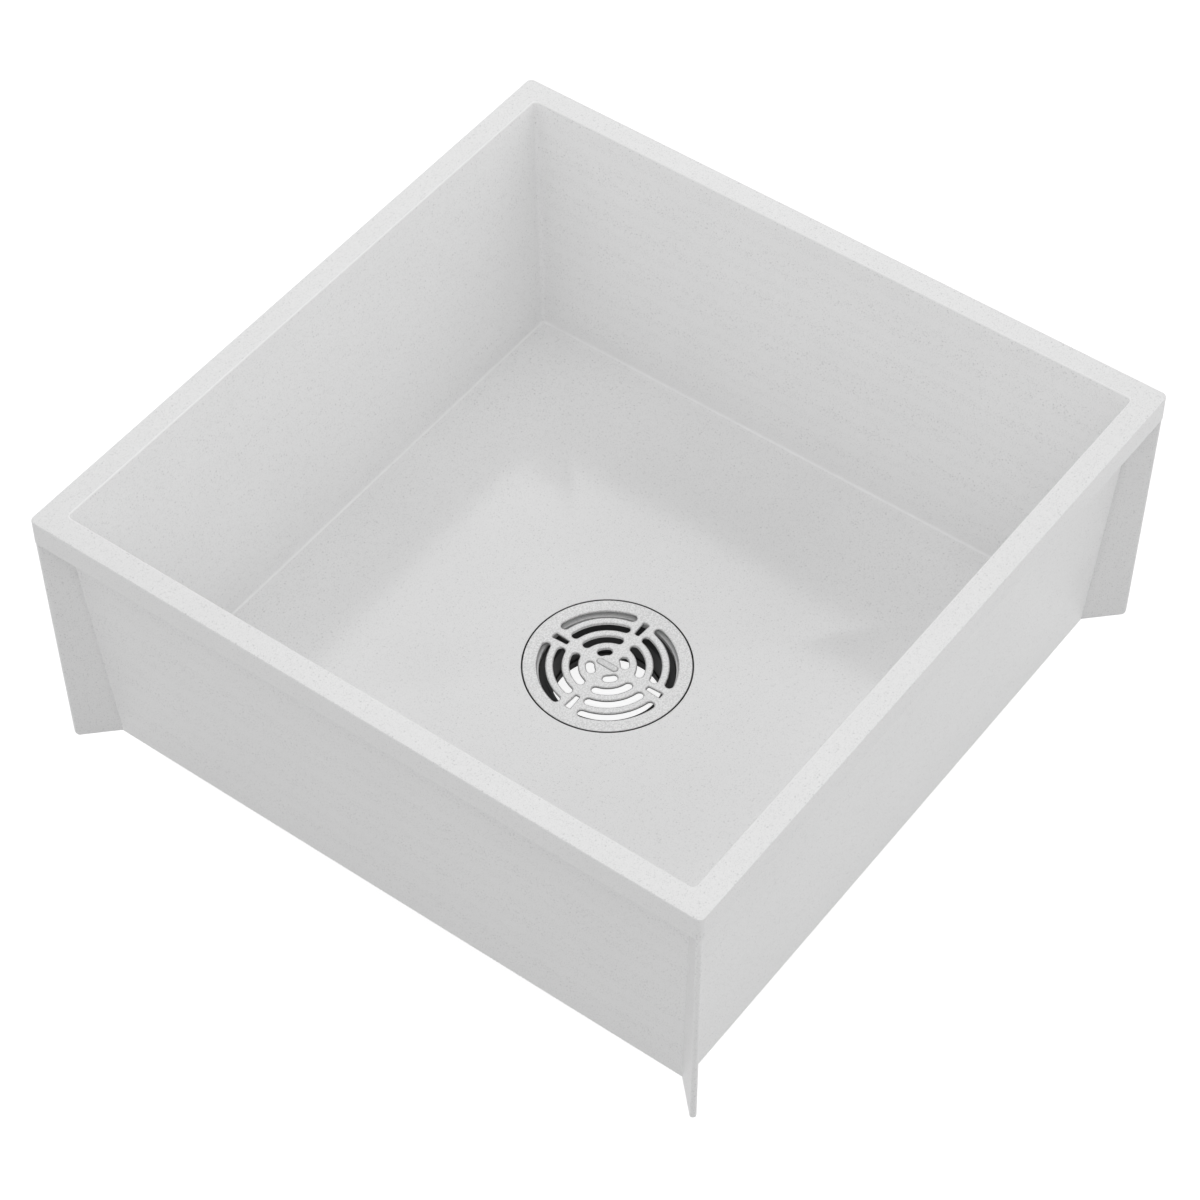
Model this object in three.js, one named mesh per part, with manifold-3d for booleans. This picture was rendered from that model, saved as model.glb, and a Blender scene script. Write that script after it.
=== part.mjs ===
// A moulded-stone mop service basin: one square moulding with a turned-down rim, corner fins and
// a floor that falls to its outlet, a slotted grate that lifts out, and the outlet fittings that
// are clamped through the floor and close on a waste pipe.
// Millimetres, +Z up. The origin is on the outlet's axis, level with the outlet's lower end.

import * as THREE from "three";
import { mergeVertices } from "three/addons/utils/BufferGeometryUtils.js";
import Module from "manifold-3d";

const wasm = await Module();
wasm.setup();

// ---- Driving dimensions: the basin ----

const BASIN_WIDTH = 609.6; // square in plan, 24 in
const BASIN_HEIGHT = 254; // from its feet to the rim's top, 10 in
const RIM_WIDTH = 20.3;
const RIM_THICKNESS = 9;
const RIM_OUTER_ROUND = 1;
const RIM_INNER_ROUND = 1.2;
const SKIRT_DEPTH = 24.4; // of the rim's turned-down edge, from the rim's top
const SKIRT_THICKNESS = 6.5;
const SKIRT_LIP_ROUND = 1.5;
const CHANNEL_ROUND = 3; // inside the channel between the skirt and the wall
const OUTER_CORNER = 5; // plan radius of the rim's outer corners
const BOWL_CORNER = 4; // plan radius of the bowl's corners
const WALL_CORNER = 9; // plan radius of the wall's outer corners
const WALL_TOP_THICKNESS = 5; // just under the rim
const WALL_DRAFT = THREE.MathUtils.degToRad(3.1); // of its outer face
const BOWL_DRAFT = THREE.MathUtils.degToRad(4.1); // of its inner face
const FOOT_WIDTH = 8; // of the wall's bottom edge
const FOOT_DRAFT = 1; // how much its inner face leans in
const FOOT_ROUND = 1;
const FLOOR_LOW = 9.5; // the floor's lowest part, round the grate, above the feet
const FLOOR_FALL = 13.5; // from the floor's edge to its lowest part
const FLOOR_ROUND = 2.5; // between the floor and the wall
const FLOOR_THICKNESS = 8;
const FLOOR_RIB_THICKNESS = 7;

// ---- Driving dimensions: the corner fins ----

const FIN_THICKNESS = 6.4;
const FIN_EDGE_ROUND = 2.4;
const FIN_INSET = 0.4; // behind the rim's corner, at the skirt
const FIN_TAPER = 3.4; // how far its outer edge falls back at the feet
const FIN_FOOT_ROUND = 5;
const FIN_ROOT_COVER = 1.5; // from the bowl's corner to the fin's root, inside the wall

// ---- Driving dimensions: the grate ----

const GAP = 0.3; // between pieces that touch
const GRATE_RADIUS = 68.2;
const GRATE_THICKNESS = 5; // of its rim, which stands on the ledge
const GRATE_WEB = 2; // thickness of the slotted plate inside the rim
const GRATE_RIM_WIDTH = 8;
const GRATE_SIDE_GAP = 0.9;
const GRATE_BEVEL = 0.5;
const GRATE_BORDER = 11.5; // from the outermost slots to the edge
const SLOT_WIDTH = 6.8;
const SLOT_GROUPS = 4; // one towards each corner of the basin
const SLOT_HALF_SPANS = [11, 28.8, 30.4, 31]; // degrees, from the innermost row outwards
const INNERMOST_SLOT_RADIUS = 14;
const SPOKE_SLOT_LENGTH = 14;
const SPOKE_SLOT_INNER_WIDTH = 3.8;
const SPOKE_SLOT_OUTER_WIDTH = 5.2;
const SPOKE_SLOT_CORNER = 0.9;
const PAD_LENGTH = 20; // the plain raised oblong in the grate's middle
const PAD_WIDTH = 6;
const PAD_HEIGHT = 0.35;
const PAD_SUNK = 1; // into the grate

// ---- Driving dimensions: the outlet, from its round opening outwards and from its end upwards ----

const OUTLET_RADIUS = 45.4; // of the opening at the lower end, over a waste pipe of 88.9 mm outside
const SEAL_BITE = 0.6; // how much further in than the opening the seal reaches
const SEAL_HEIGHT = 5.6;
const SEAL_BEVEL = 1.2;
const BARREL_STEP = 0.6; // from the opening to the outlet body's bore
const BARREL_WALL = 3.3;
const BARREL_CLEARANCE = 0.5; // round the barrel in the stone, the gasket, the washer and the nuts
const FLANGE_WIDTH = 5.5; // beyond the barrel
const FLANGE_THICKNESS = 4;
const FLANGE_SIDE_GAP = 0.4;
const FLANGE_DEPTH = 3.2; // its top below the ledge that carries the grate
const MOUTH_WIDTH = 4; // how much the bore widens in the flange
const MOUTH_FALL = 6.5;
const GASKET_THICKNESS = 2;
const RECESS_ROUND = 0.6; // at the floor's edge round the grate
const HUB_WALL = 7.2; // of stone round the recess
const HUB_DRAFT = 2;
const HUB_ROUND = 1;
const HUB_SEAT_THICKNESS = 9; // of stone between the flange and the lock nut
const WASHER_THICKNESS = 2;
const WASHER_WIDTH = 12.2;
const LOCK_NUT_THICKNESS = 8.5;
const LOCK_NUT_WALL = 10.2;
const LOCK_NUT_LUGS = 8;
const LOCK_NUT_LUG_LENGTH = 6;
const LOCK_NUT_LUG_WIDTH = 9;
const PIPE_NUT_WALL = 6.2;
const PIPE_NUT_LIP = 2.6; // thickness of its inward lip
const PIPE_NUT_GRIP = 3.7; // height over which it holds the barrel
const PIPE_NUT_RIBS = 16;
const PIPE_NUT_RIB_LENGTH = 1.6;
const PIPE_NUT_RIB_WIDTH = 4;
const NUT_BEVEL = 1.2;
const LUG_INSET = 1; // of lugs and ribs from a nut's faces

// ---- Mesh fineness ----

const SIDE_STEPS = 6; // from the middle of a ring's side to its corner
const CORNER_STEPS = 6;
const QUARTER_STEPS = 2 * SIDE_STEPS + CORNER_STEPS;
const SIDE_TURN = THREE.MathUtils.degToRad(42); // the share of a circle that a ring's half side takes
const ROUND_STEPS = 2;
const FIN_FOOT_STEPS = 4;
const DISC_STEPS = 80;
const SLOT_END_STEPS = 5;
const SLOT_STEP_TURN = THREE.MathUtils.degToRad(6);
const LATHE_STEPS = 52;

// ---- Sizes that follow: heights, from the outlet's lower end upwards ----

const QUARTER_TURN = Math.PI / 2;
const SEAL_BOTTOM = PIPE_NUT_LIP + GAP;
const BARREL_BOTTOM = SEAL_BOTTOM + SEAL_HEIGHT + GAP;
const PIPE_NUT_TOP = BARREL_BOTTOM + PIPE_NUT_GRIP;
const LOCK_NUT_BOTTOM = PIPE_NUT_TOP + GAP;
const LOCK_NUT_TOP = LOCK_NUT_BOTTOM + LOCK_NUT_THICKNESS;
const WASHER_BOTTOM = LOCK_NUT_TOP + GAP;
const HUB_BOTTOM = WASHER_BOTTOM + WASHER_THICKNESS + GAP;
const SEAT_Z = HUB_BOTTOM + HUB_SEAT_THICKNESS;
const GASKET_BOTTOM = SEAT_Z + GAP;
const FLANGE_BOTTOM = GASKET_BOTTOM + GASKET_THICKNESS + GAP;
const FLANGE_TOP = FLANGE_BOTTOM + FLANGE_THICKNESS;
const LEDGE_Z = FLANGE_TOP + FLANGE_DEPTH;
const GRATE_BOTTOM = LEDGE_Z + GAP;
const GRATE_TOP = GRATE_BOTTOM + GRATE_THICKNESS;
const FEET_Z = GRATE_TOP - FLOOR_LOW;
const FLOOR_EDGE_Z = GRATE_TOP + FLOOR_FALL;
const RIM_Z = FEET_Z + BASIN_HEIGHT;
const CHANNEL_Z = RIM_Z - RIM_THICKNESS;
const SKIRT_Z = RIM_Z - SKIRT_DEPTH;

// ---- Sizes that follow: radii, and half widths of the square basin ----

const BARREL_INNER_RADIUS = OUTLET_RADIUS + BARREL_STEP;
const BARREL_OUTER_RADIUS = BARREL_INNER_RADIUS + BARREL_WALL;
const RING_BORE_RADIUS = BARREL_OUTER_RADIUS + BARREL_CLEARANCE;
const FLANGE_RADIUS = BARREL_OUTER_RADIUS + FLANGE_WIDTH;
const LEDGE_INNER_RADIUS = FLANGE_RADIUS + FLANGE_SIDE_GAP;
const RECESS_RADIUS = GRATE_RADIUS + GRATE_SIDE_GAP;
const HUB_TOP_RADIUS = RECESS_RADIUS + HUB_WALL;
const HUB_BOTTOM_RADIUS = HUB_TOP_RADIUS - HUB_DRAFT;
const LOCK_NUT_RADIUS = RING_BORE_RADIUS + LOCK_NUT_WALL;
const PIPE_NUT_RADIUS = RING_BORE_RADIUS + PIPE_NUT_WALL;
const BASIN_HALF = BASIN_WIDTH / 2;
const SKIRT_INNER_HALF = BASIN_HALF - SKIRT_THICKNESS;
const BOWL_HALF = BASIN_HALF - RIM_WIDTH;
const WALL_TOP_HALF = BOWL_HALF - RIM_THICKNESS * Math.tan(BOWL_DRAFT) + WALL_TOP_THICKNESS;
const WALL_FOOT_HALF = WALL_TOP_HALF - (CHANNEL_Z - FEET_Z) * Math.tan(WALL_DRAFT);
const FOOT_INNER_HALF = WALL_FOOT_HALF - FOOT_WIDTH;
const FLOOR_EDGE_HALF = BOWL_HALF - (RIM_Z - FLOOR_EDGE_Z) * Math.tan(BOWL_DRAFT);
const OUTERMOST_SLOT_RADIUS = GRATE_RADIUS - GRATE_BORDER - SLOT_WIDTH / 2;

// ---- Materials ----

const stone = new THREE.MeshStandardMaterial({ color: 0xdcdcda, roughness: 0.35, metalness: 0 });
const castMetal = new THREE.MeshStandardMaterial({ color: 0xd2d2d2, roughness: 0.32, metalness: 0.9 });
const blackPlastic = new THREE.MeshStandardMaterial({ color: 0x1c1c1d, roughness: 0.45, metalness: 0 });
const blackRubber = new THREE.MeshStandardMaterial({ color: 0x161616, roughness: 0.8, metalness: 0 });
const whitePlastic = new THREE.MeshStandardMaterial({ color: 0xd8d8d2, roughness: 0.5, metalness: 0 });

// ---- Solids: joining and cutting ----

function toSolid(geometry) {
  const bare = geometry.index ? geometry.toNonIndexed() : geometry.clone();
  bare.deleteAttribute("normal");
  bare.deleteAttribute("uv");
  const merged = mergeVertices(bare, 1e-4);
  return new wasm.Manifold(
    new wasm.Mesh({
      numProp: 3,
      vertProperties: new Float32Array(merged.attributes.position.array),
      triVerts: new Uint32Array(merged.index.array),
    }),
  );
}

function toGeometry(solid) {
  const mesh = solid.getMesh();
  return new THREE.BufferGeometry()
    .setAttribute("position", new THREE.BufferAttribute(new Float32Array(mesh.vertProperties), 3))
    .setIndex(new THREE.BufferAttribute(new Uint32Array(mesh.triVerts), 1));
}

function join(geometries) {
  const solids = geometries.map(toSolid);
  return toGeometry(solids.slice(1).reduce((whole, next) => whole.add(next), solids[0]));
}

// ---- Rings: the basin's sections ----

// A section's edge through a square ring, or a round one, with `round` as the radius that softens it.
const square = (half, corner, z, round = 0) => ({ half, corner, z, round });
const circle = (radius, z, round = 0) => ({ half: radius, corner: radius, z, round });

const polar = (radius, turn) => [radius * Math.cos(turn), radius * Math.sin(turn)];

// Points along an arc of a circle, both ends included.
function arc(x, y, radius, from, to, steps) {
  return Array.from({ length: steps + 1 }, (_, step) => {
    const [across, along] = polar(radius, from + ((to - from) * step) / steps);
    return new THREE.Vector2(x + across, y + along);
  });
}

// A point of a ring's first quarter, from the middle of its +X side to the middle of its +Y side.
function quarterPoint(step, half, corner) {
  if (step > QUARTER_STEPS / 2) {
    const [x, y] = quarterPoint(QUARTER_STEPS - step, half, corner);
    return [y, x];
  }
  const isCircle = corner === half;
  const straight = half - corner;
  if (step <= SIDE_STEPS) {
    const turn = (SIDE_TURN * step) / SIDE_STEPS;
    return isCircle ? polar(half, turn) : [half, (straight * Math.tan(turn)) / Math.tan(SIDE_TURN)];
  }
  const share = (step - SIDE_STEPS) / CORNER_STEPS;
  if (isCircle) return polar(half, SIDE_TURN + (QUARTER_TURN - 2 * SIDE_TURN) * share);
  const [x, y] = polar(corner, QUARTER_TURN * share);
  return [straight + x, straight + y];
}

function ringPoints({ half, corner, z }) {
  const points = [];
  for (const [cos, sin] of [[1, 0], [0, 1], [-1, 0], [0, -1]]) {
    for (let step = 0; step < QUARTER_STEPS; step++) {
      const [x, y] = quarterPoint(step, half, corner);
      points.push([x * cos - y * sin, x * sin + y * cos, z]);
    }
  }
  return points;
}

// The rings with each rounded edge replaced by an arc in the section's plane. The plan radius of a
// corner follows the arc's offset, so that an edge keeps its round all the way about.
function roundedRings(rings) {
  return rings.flatMap((ring, index) => {
    if (!ring.round) return [ring];
    const before = rings[(index + rings.length - 1) % rings.length];
    const after = rings[(index + 1) % rings.length];
    const here = new THREE.Vector2(ring.half, ring.z);
    const back = new THREE.Vector2(before.half, before.z).sub(here).normalize();
    const ahead = new THREE.Vector2(after.half, after.z).sub(here).normalize();
    const halfAngle = Math.acos(back.dot(ahead)) / 2;
    const inward = back.clone().add(ahead).setLength(ring.round / Math.sin(halfAngle));
    const centre = here.clone().add(inward);
    const tangent = ring.round / Math.tan(halfAngle);
    const start = back.clone().multiplyScalar(tangent).add(here).sub(centre);
    const end = ahead.clone().multiplyScalar(tangent).add(here).sub(centre);
    const sweep = Math.atan2(start.cross(end), start.dot(end));
    return Array.from({ length: ROUND_STEPS + 1 }, (_, step) => {
      const point = start.clone().rotateAround(new THREE.Vector2(), (sweep * step) / ROUND_STEPS).add(centre);
      const isCircle = ring.corner === ring.half;
      const corner = isCircle ? point.x : ring.corner + point.x - ring.half;
      return { half: point.x, corner, z: point.y };
    });
  });
}

// A closed body from rings that run once round its section.
function ringBody(rings) {
  const all = roundedRings(rings).map(ringPoints);
  const count = all[0].length;
  const index = [];
  all.forEach((_, ring) => {
    const next = (ring + 1) % all.length;
    for (let step = 0; step < count; step++) {
      const beside = (step + 1) % count;
      const [a, b] = [ring * count + step, ring * count + beside];
      const [c, d] = [next * count + step, next * count + beside];
      index.push(a, c, b, b, c, d);
    }
  });
  return new THREE.BufferGeometry()
    .setAttribute("position", new THREE.Float32BufferAttribute(all.flat(2), 3))
    .setIndex(index);
}

// ---- Plates: upright, through the outlet's axis ----

// A plate whose outline is given as reach from the axis and height, turned about the axis.
function uprightPlate(points, thickness, edgeRound, turn) {
  const depth = thickness - 2 * edgeRound;
  const geometry = new THREE.ExtrudeGeometry(new THREE.Shape(points), {
    depth,
    bevelEnabled: edgeRound > 0,
    bevelThickness: edgeRound,
    bevelSize: edgeRound,
    bevelOffset: -edgeRound,
    bevelSegments: ROUND_STEPS,
  });
  geometry.translate(0, 0, -depth / 2);
  const out = new THREE.Vector3(Math.cos(turn), Math.sin(turn), 0);
  const up = new THREE.Vector3(0, 0, 1);
  return geometry.applyMatrix4(new THREE.Matrix4().makeBasis(out, up, out.clone().cross(up)));
}

// How far a square ring reaches from the axis at its corners.
const cornerReach = (half, corner) => (half - corner) * Math.SQRT2 + corner;

function cornerFin(turn) {
  const top = CHANNEL_Z + RIM_THICKNESS / 2;
  const topReach = cornerReach(BASIN_HALF, OUTER_CORNER) - FIN_INSET;
  const footReach = topReach - FIN_TAPER;
  const footRound = arc(
    footReach - FIN_FOOT_ROUND, FEET_Z + FIN_FOOT_ROUND, FIN_FOOT_ROUND, -QUARTER_TURN, 0, FIN_FOOT_STEPS,
  );
  const outline = [
    new THREE.Vector2(cornerReach(FOOT_INNER_HALF, BOWL_CORNER) + FIN_ROOT_COVER, FEET_Z),
    ...footRound,
    new THREE.Vector2(topReach, SKIRT_Z + SKIRT_LIP_ROUND),
    new THREE.Vector2(topReach - SKIRT_THICKNESS, top),
    new THREE.Vector2(cornerReach(BOWL_HALF, BOWL_CORNER) + FIN_ROOT_COVER, top),
  ];
  return uprightPlate(outline, FIN_THICKNESS, Math.min(FIN_EDGE_ROUND, FIN_THICKNESS * 0.4), turn);
}

// A rib under the floor, from the hub to the wall's foot, level with the feet. Its top lies in the
// middle of the floor's thickness.
function floorRib(reach, turn) {
  const sunk = FLOOR_THICKNESS / 2;
  const start = HUB_BOTTOM_RADIUS - sunk;
  const outline = [
    new THREE.Vector2(start, FEET_Z),
    new THREE.Vector2(reach, FEET_Z),
    new THREE.Vector2(reach, FLOOR_EDGE_Z - sunk),
    new THREE.Vector2(start, GRATE_TOP - sunk),
  ];
  return uprightPlate(outline, FLOOR_RIB_THICKNESS, 0, turn);
}

// ---- The basin ----

function basin() {
  const channelWidth = SKIRT_INNER_HALF - WALL_TOP_HALF;
  const channelRound = Math.min(CHANNEL_ROUND, channelWidth * 0.4);
  const shell = ringBody([
    circle(RING_BORE_RADIUS, HUB_BOTTOM),
    circle(RING_BORE_RADIUS, SEAT_Z),
    circle(LEDGE_INNER_RADIUS, SEAT_Z),
    circle(LEDGE_INNER_RADIUS, LEDGE_Z),
    circle(RECESS_RADIUS, LEDGE_Z),
    circle(RECESS_RADIUS, GRATE_TOP, RECESS_ROUND),
    square(FLOOR_EDGE_HALF, BOWL_CORNER, FLOOR_EDGE_Z, FLOOR_ROUND),
    square(BOWL_HALF, BOWL_CORNER, RIM_Z, RIM_INNER_ROUND),
    square(BASIN_HALF, OUTER_CORNER, RIM_Z, RIM_OUTER_ROUND),
    square(BASIN_HALF, OUTER_CORNER, SKIRT_Z, SKIRT_LIP_ROUND),
    square(SKIRT_INNER_HALF, OUTER_CORNER, SKIRT_Z, SKIRT_LIP_ROUND),
    square(SKIRT_INNER_HALF, OUTER_CORNER, CHANNEL_Z, channelRound),
    square(WALL_TOP_HALF, WALL_CORNER, CHANNEL_Z, channelRound),
    square(WALL_FOOT_HALF, WALL_CORNER, FEET_Z, FOOT_ROUND),
    square(FOOT_INNER_HALF, BOWL_CORNER, FEET_Z, FOOT_ROUND),
    square(FOOT_INNER_HALF - FOOT_DRAFT, BOWL_CORNER, FLOOR_EDGE_Z - FLOOR_THICKNESS),
    circle(HUB_TOP_RADIUS, GRATE_TOP - FLOOR_THICKNESS),
    circle(HUB_BOTTOM_RADIUS, HUB_BOTTOM, HUB_ROUND),
  ]);
  const parts = [shell];
  const ribEnd = FOOT_INNER_HALF + FOOT_WIDTH / 2;
  for (let side = 0; side < 4; side++) {
    const straight = side * QUARTER_TURN;
    const diagonal = straight + QUARTER_TURN / 2;
    parts.push(cornerFin(diagonal));
    parts.push(floorRib(ribEnd, straight));
    parts.push(floorRib(cornerReach(ribEnd, WALL_CORNER), diagonal));
  }
  return join(parts);
}

// ---- The grate ----

// An arc slot's outline, with round ends.
function arcSlot(radius, halfSpan, middle) {
  const end = SLOT_WIDTH / 2;
  const [from, to] = [middle - halfSpan, middle + halfSpan];
  const steps = Math.ceil((2 * halfSpan) / SLOT_STEP_TURN);
  return new THREE.Path([
    ...arc(0, 0, radius + end, from, to, steps),
    ...arc(...polar(radius, to), end, to, to + Math.PI, SLOT_END_STEPS).slice(1, -1),
    ...arc(0, 0, radius - end, to, from, steps),
    ...arc(...polar(radius, from), end, from - Math.PI, from, SLOT_END_STEPS).slice(1, -1),
  ]);
}

// A tapered slot along a spoke, wider at its outer end, with small round corners.
function spokeSlot(turn) {
  const round = SPOKE_SLOT_CORNER;
  const [nearX, farX] = [OUTERMOST_SLOT_RADIUS - SPOKE_SLOT_LENGTH + round, OUTERMOST_SLOT_RADIUS - round];
  const [nearY, farY] = [SPOKE_SLOT_INNER_WIDTH / 2 - round, SPOKE_SLOT_OUTER_WIDTH / 2 - round];
  const points = [
    ...arc(nearX, -nearY, round, -2 * QUARTER_TURN, -QUARTER_TURN, ROUND_STEPS),
    ...arc(farX, -farY, round, -QUARTER_TURN, 0, ROUND_STEPS),
    ...arc(farX, farY, round, 0, QUARTER_TURN, ROUND_STEPS),
    ...arc(nearX, nearY, round, QUARTER_TURN, 2 * QUARTER_TURN, ROUND_STEPS),
  ];
  return new THREE.Path(points.map((point) => point.rotateAround(new THREE.Vector2(), turn)));
}

// The outline of a pad with round ends, along Y.
function oblong(length, width) {
  const reach = (length - width) / 2;
  return new THREE.Shape([
    ...arc(0, reach, width / 2, 0, 2 * QUARTER_TURN, 2 * SLOT_END_STEPS),
    ...arc(0, -reach, width / 2, 2 * QUARTER_TURN, 4 * QUARTER_TURN, 2 * SLOT_END_STEPS),
  ]);
}

// A flat piece from its outline, with small bevels inside its thickness.
function flatPlate(outline, bottom, thickness, bevel) {
  return new THREE.ExtrudeGeometry(outline, {
    depth: thickness - 2 * bevel,
    bevelThickness: bevel,
    bevelSize: bevel,
    bevelOffset: -bevel,
    bevelSegments: 1,
  }).translate(0, 0, bottom + bevel);
}

// A disc's outline, or a hole's.
const discPoints = (radius) => arc(0, 0, radius, 0, 4 * QUARTER_TURN, DISC_STEPS).slice(1);

// A thin slotted plate whose edge is carried inside a deeper rim, with a plain pad in its middle.
function grate() {
  const disc = new THREE.Shape(discPoints(GRATE_RADIUS - GRATE_RIM_WIDTH / 2));
  const rim = new THREE.Shape(discPoints(GRATE_RADIUS));
  rim.holes.push(new THREE.Path(discPoints(GRATE_RADIUS - GRATE_RIM_WIDTH)));
  const pitch = (OUTERMOST_SLOT_RADIUS - INNERMOST_SLOT_RADIUS) / (SLOT_HALF_SPANS.length - 1);
  for (let group = 0; group < SLOT_GROUPS; group++) {
    const spoke = (group * 2 * Math.PI) / SLOT_GROUPS;
    SLOT_HALF_SPANS.forEach((span, row) => {
      const radius = INNERMOST_SLOT_RADIUS + pitch * row;
      disc.holes.push(arcSlot(radius, THREE.MathUtils.degToRad(span), spoke + Math.PI / SLOT_GROUPS));
    });
    disc.holes.push(spokeSlot(spoke));
  }
  return join([
    flatPlate(rim, GRATE_BOTTOM, GRATE_THICKNESS, GRATE_BEVEL),
    flatPlate(disc, GRATE_TOP - GRATE_WEB, GRATE_WEB, GRATE_BEVEL),
    flatPlate(oblong(PAD_LENGTH, PAD_WIDTH), GRATE_TOP - PAD_SUNK, PAD_SUNK + PAD_HEIGHT, PAD_HEIGHT / 2),
  ]);
}

// ---- The outlet ----

// A turned piece from its section, a closed list of [radius, height].
function turned(section) {
  const closed = [...section, section[0]].map(([radius, height]) => new THREE.Vector2(radius, height));
  return new THREE.LatheGeometry(closed, LATHE_STEPS).rotateX(QUARTER_TURN);
}

function flatRing(inner, outer, bottom, top) {
  return turned([
    [inner, bottom],
    [outer, bottom],
    [outer, top],
    [inner, top],
  ]);
}

// Blocks about a nut, as the lugs and ribs that a hand or a spanner turns it by.
function gripsAbout(nutRadius, count, length, width, bottom, top) {
  const inner = (RING_BORE_RADIUS + nutRadius) / 2;
  const outer = nutRadius + length;
  return Array.from({ length: count }, (_, index) =>
    new THREE.BoxGeometry(outer - inner, width, top - bottom)
      .translate((inner + outer) / 2, 0, (bottom + top) / 2)
      .rotateZ((index * 2 * Math.PI) / count),
  );
}

function drainBody() {
  return turned([
    [BARREL_INNER_RADIUS, BARREL_BOTTOM],
    [BARREL_OUTER_RADIUS, BARREL_BOTTOM],
    [BARREL_OUTER_RADIUS, FLANGE_BOTTOM],
    [FLANGE_RADIUS, FLANGE_BOTTOM],
    [FLANGE_RADIUS, FLANGE_TOP],
    [BARREL_INNER_RADIUS + MOUTH_WIDTH, FLANGE_TOP],
    [BARREL_INNER_RADIUS, FLANGE_TOP - MOUTH_FALL],
  ]);
}

function flangeGasket() {
  return flatRing(RING_BORE_RADIUS, FLANGE_RADIUS, GASKET_BOTTOM, GASKET_BOTTOM + GASKET_THICKNESS);
}

function frictionWasher() {
  return flatRing(
    RING_BORE_RADIUS, RING_BORE_RADIUS + WASHER_WIDTH, WASHER_BOTTOM, WASHER_BOTTOM + WASHER_THICKNESS,
  );
}

function lockNut() {
  const ring = turned([
    [RING_BORE_RADIUS, LOCK_NUT_BOTTOM],
    [LOCK_NUT_RADIUS - NUT_BEVEL, LOCK_NUT_BOTTOM],
    [LOCK_NUT_RADIUS, LOCK_NUT_BOTTOM + NUT_BEVEL],
    [LOCK_NUT_RADIUS, LOCK_NUT_TOP],
    [RING_BORE_RADIUS, LOCK_NUT_TOP],
  ]);
  const [bottom, top] = [LOCK_NUT_BOTTOM + LUG_INSET, LOCK_NUT_TOP - LUG_INSET];
  return join([
    ring,
    ...gripsAbout(LOCK_NUT_RADIUS, LOCK_NUT_LUGS, LOCK_NUT_LUG_LENGTH, LOCK_NUT_LUG_WIDTH, bottom, top),
  ]);
}

function pipeNut() {
  const ring = turned([
    [OUTLET_RADIUS, 0],
    [PIPE_NUT_RADIUS - NUT_BEVEL, 0],
    [PIPE_NUT_RADIUS, NUT_BEVEL],
    [PIPE_NUT_RADIUS, PIPE_NUT_TOP],
    [RING_BORE_RADIUS, PIPE_NUT_TOP],
    [RING_BORE_RADIUS, PIPE_NUT_LIP],
    [OUTLET_RADIUS, PIPE_NUT_LIP],
  ]);
  const [bottom, top] = [NUT_BEVEL + LUG_INSET, PIPE_NUT_TOP - LUG_INSET];
  return join([
    ring,
    ...gripsAbout(PIPE_NUT_RADIUS, PIPE_NUT_RIBS, PIPE_NUT_RIB_LENGTH, PIPE_NUT_RIB_WIDTH, bottom, top),
  ]);
}

function pipeSeal() {
  const inner = OUTLET_RADIUS - SEAL_BITE;
  const outer = RING_BORE_RADIUS - GAP;
  const top = SEAL_BOTTOM + SEAL_HEIGHT;
  return turned([
    [inner + SEAL_BEVEL, SEAL_BOTTOM],
    [outer, SEAL_BOTTOM],
    [outer, top - SEAL_BEVEL],
    [outer - SEAL_BEVEL, top],
    [inner, top],
    [inner, SEAL_BOTTOM + SEAL_BEVEL],
  ]);
}

// ---- The assembly ----

const pieces = {
  basin: [basin(), stone],
  grate: [grate(), castMetal],
  drain_body: [drainBody(), blackPlastic],
  flange_gasket: [flangeGasket(), blackRubber],
  friction_washer: [frictionWasher(), whitePlastic],
  lock_nut: [lockNut(), blackPlastic],
  pipe_nut: [pipeNut(), blackPlastic],
  pipe_seal: [pipeSeal(), blackRubber],
};

const assembly = new THREE.Group();
for (const [name, [geometry, material]] of Object.entries(pieces)) {
  const mesh = new THREE.Mesh(geometry, material.clone());
  mesh.name = name;
  assembly.add(mesh);
}

export default assembly;
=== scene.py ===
"""A moulded-stone mop basin with its slotted grate and outlet fittings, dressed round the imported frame.

Metres, +Z up, origin on the outlet's axis level with the outlet's lower end. The pieces' sizes are in
millimetres and are scaled once, where a surface becomes a mesh or a shader reads a place. Lamps, the
camera and the grain of the materials are in metres.
"""

import math

import bpy
import numpy as np
from mathutils import Matrix, Vector
from mathutils.geometry import tessellate_polygon


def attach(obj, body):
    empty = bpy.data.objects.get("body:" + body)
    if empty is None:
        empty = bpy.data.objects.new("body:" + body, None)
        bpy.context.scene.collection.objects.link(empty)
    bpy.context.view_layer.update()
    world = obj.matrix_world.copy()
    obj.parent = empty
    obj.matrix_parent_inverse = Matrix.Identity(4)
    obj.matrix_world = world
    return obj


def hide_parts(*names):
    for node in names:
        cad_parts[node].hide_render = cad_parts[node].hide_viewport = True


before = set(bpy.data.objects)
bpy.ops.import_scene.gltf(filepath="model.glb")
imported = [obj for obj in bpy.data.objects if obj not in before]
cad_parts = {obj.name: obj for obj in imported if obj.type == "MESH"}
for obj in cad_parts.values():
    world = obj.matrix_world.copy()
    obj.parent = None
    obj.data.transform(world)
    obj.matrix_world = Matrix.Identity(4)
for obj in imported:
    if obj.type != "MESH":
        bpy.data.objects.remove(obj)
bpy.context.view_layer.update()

MM = 0.001
QUARTER = math.pi / 2
HOLD = 0.3  # from the end of a round to the first row of the flat beside it, which keeps the flat's normal

# ---- The basin's sizes: the frame's own, but for a crisper wall corner and slimmer fins ----

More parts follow.
